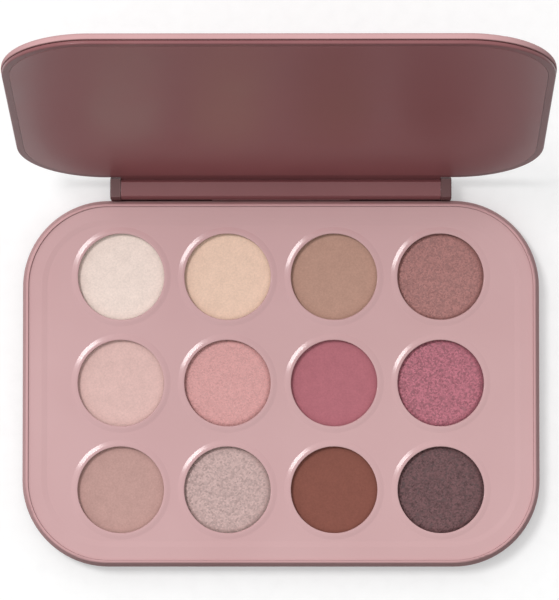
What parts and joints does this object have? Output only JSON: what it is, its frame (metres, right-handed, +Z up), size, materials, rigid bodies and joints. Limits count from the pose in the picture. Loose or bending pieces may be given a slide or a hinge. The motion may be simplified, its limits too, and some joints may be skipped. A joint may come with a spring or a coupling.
{
  "type": "eyeshadow palette",
  "caption": "Shallow rounded makeup palette: round pressed powders in a deck of beaded openings, under a hinged lid that leans back open on its stop.",
  "frame": {"origin": "middle of the base's flat underside", "axes": "+X to the right along the hinge, +Y to the hinge at the back, +Z up out of the deck"},
  "size_m": [0.15, 0.143, 0.1115],
  "materials": {
    "pink_plastic": "satin moulded plastic",
    "mauve_plastic": "satin moulded plastic",
    "mauve_gloss": "glossy moulded plastic",
    "adhesive": "translucent adhesive",
    "magnet": "nickel plated",
    "pin_steel": "drawn wire",
    "pan_metal": "pressed sheet",
    "powder_ivory": "pressed satin powder",
    "powder_peach": "pressed matte powder",
    "powder_tan": "pressed matte powder",
    "powder_rose_taupe": "pressed shimmer powder",
    "powder_blush": "pressed satin powder",
    "powder_salmon": "pressed satin powder",
    "powder_rose": "pressed matte powder",
    "powder_berry": "pressed shimmer powder",
    "powder_mushroom": "pressed matte powder",
    "powder_champagne": "pressed shimmer powder",
    "powder_chestnut": "pressed matte powder",
    "powder_plum": "pressed shimmer powder"
  },
  "bodies": {
    "base": {"base_shell": "pink_plastic", "pan_tray": "pink_plastic", "pan_glue_pads": "adhesive", "pan_ivory": "pan_metal", "pan_peach": "pan_metal", "pan_tan": "pan_metal", "pan_rose_taupe": "pan_metal", "pan_blush": "pan_metal", "pan_salmon": "pan_metal", "pan_rose": "pan_metal", "pan_berry": "pan_metal", "pan_mushroom": "pan_metal", "pan_champagne": "pan_metal", "pan_chestnut": "pan_metal", "pan_plum": "pan_metal", "powder_ivory": "powder_ivory", "powder_peach": "powder_peach", "powder_tan": "powder_tan", "powder_rose_taupe": "powder_rose_taupe", "powder_blush": "powder_blush", "powder_salmon": "powder_salmon", "powder_rose": "powder_rose", "powder_berry": "powder_berry", "powder_mushroom": "powder_mushroom", "powder_champagne": "powder_champagne", "powder_chestnut": "powder_chestnut", "powder_plum": "powder_plum", "base_magnets": "magnet", "hinge_carrier": "mauve_plastic", "hinge_pin_left": "pin_steel", "hinge_pin_right": "pin_steel"},
    "lid": {"lid_cover": "pink_plastic", "lid_frame": "mauve_plastic", "lid_panel": "mauve_gloss", "panel_adhesive": "adhesive", "lid_magnets": "magnet"}
  },
  "joints": [
    {"name": "lid_hinge", "type": "hinge", "parent": "base", "child": "lid", "pos_m": [0, 0.0563, 0.00675], "axis": [1, 0, 0], "range_deg": [0, 105]}
  ]
}
